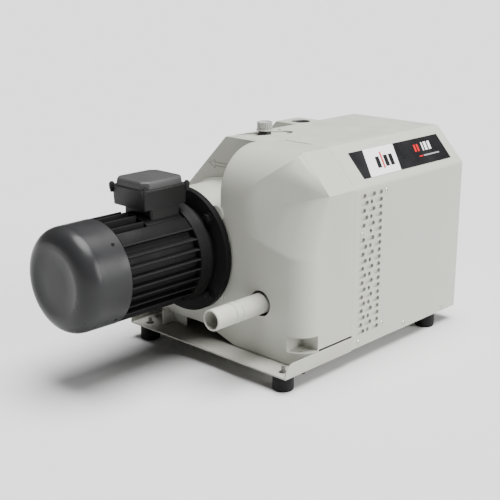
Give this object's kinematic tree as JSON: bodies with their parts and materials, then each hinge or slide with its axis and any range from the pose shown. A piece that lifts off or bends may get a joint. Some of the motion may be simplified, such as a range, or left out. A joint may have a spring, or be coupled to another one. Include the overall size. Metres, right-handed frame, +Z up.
{
  "type": "rotary vane vacuum pump",
  "caption": "Flange-motor rotary vane vacuum pump under a sheet-metal cover with a moulded front cowl, on a folded tray with rubber feet.",
  "frame": {"origin": "centre of the footprint on the floor, under the middle of the overall length", "axes": "+X along the shaft from the motor to the cover's back, +Z up, the slotted side towards -Y"},
  "size_m": [0.8368, 0.4308, 0.4444],
  "materials": {
    "cover_paint": "satin light grey paint",
    "cowl_moulding": "moulded light grey, fine texture",
    "tray_paint": "satin light grey paint",
    "motor_black": "black paint over cast aluminium",
    "hood_dark": "dark grey paint over drawn sheet",
    "box_lid": "grey",
    "rubber": "matt black",
    "steel": "machined",
    "zinc": "zinc plated",
    "iron": "bare",
    "copper": "enamelled copper wire",
    "graphite": "graphite composite",
    "black_plastic": "black",
    "label": "printed film",
    "spider": "polyurethane",
    "cap_grey": "ribbed",
    "pipe_grey": "light grey paint"
  },
  "bodies": {
    "housing": {"base_tray": "tray_paint", "cable_gland": "black_plastic", "cap_neck": "black_plastic", "exhaust_duct": "iron", "exhaust_pipe": "pipe_grey", "exhaust_silencer": "iron", "fan_hood": "hood_dark", "flange_bolt_1": "motor_black", "flange_bolt_2": "motor_black", "flange_bolt_3": "motor_black", "flange_bolt_4": "motor_black", "foot_front_far": "rubber", "foot_front_near": "rubber", "foot_rear_far": "rubber", "foot_rear_near": "rubber", "front_cowl": "cowl_moulding", "label_plate": "label", "lantern": "cowl_moulding", "motor_bearing_front": "steel", "motor_bearing_rear": "steel", "motor_flange": "motor_black", "pump_bearing_front": "steel", "pump_bearing_rear": "steel", "pump_cylinder": "iron", "pump_end_cap": "iron", "pump_front_plate": "iron", "pump_mount_front": "tray_paint", "pump_mount_rear": "tray_paint", "pump_rear_plate": "iron", "rear_cover": "cover_paint", "rear_endshield": "motor_black", "stator_core": "iron", "stator_frame": "motor_black", "stator_winding": "copper", "stud_front_far": "zinc", "stud_front_near": "zinc", "stud_rear_far": "zinc", "stud_rear_near": "zinc", "suction_neck": "iron", "support_guide": "tray_paint", "terminal_block": "black_plastic", "terminal_box": "motor_black", "terminal_lid": "box_lid", "valve_guide": "steel", "valve_housing": "iron", "valve_spring": "steel"},
    "rotor": {"motor_shaft": "steel", "motor_rotor": "iron", "motor_fan": "black_plastic", "coupling_motor_half": "iron", "coupling_spider": "spider", "coupling_pump_half": "iron", "pump_rotor": "steel", "vane_1": "graphite", "vane_2": "graphite", "vane_3": "graphite", "vane_4": "graphite"},
    "cap_ring": {"cap_washer": "rubber"},
    "cap": {"screw_cap": "cap_grey"},
    "valve": {"valve_disc": "steel"}
  },
  "joints": [
    {"name": "shaft_spin", "type": "hinge", "parent": "housing", "child": "rotor", "pos_m": [-0.14515, 0.088, 0.21], "axis": [1, 0, 0], "continuous": true},
    {"name": "cap_lift", "type": "slide", "parent": "housing", "child": "cap_ring", "axis": [0, 0, 1], "range_m": [0, 0.008]},
    {"name": "cap_turn", "type": "hinge", "parent": "cap_ring", "child": "cap", "pos_m": [0.07985, 0.046, 0.43], "axis": [0, 0, 1], "range_deg": [0, 720]},
    {"name": "valve_open", "type": "slide", "parent": "housing", "child": "valve", "axis": [0, 0, -1], "range_m": [0, 0.012], "stiffness_N_per_m": 100, "springref_m": -0.01, "deforming": ["valve_spring"]}
  ],
  "couplings": [
    {"joint": "cap_turn", "follows": "cap_lift", "rad_per_m": 1570.8}
  ]
}
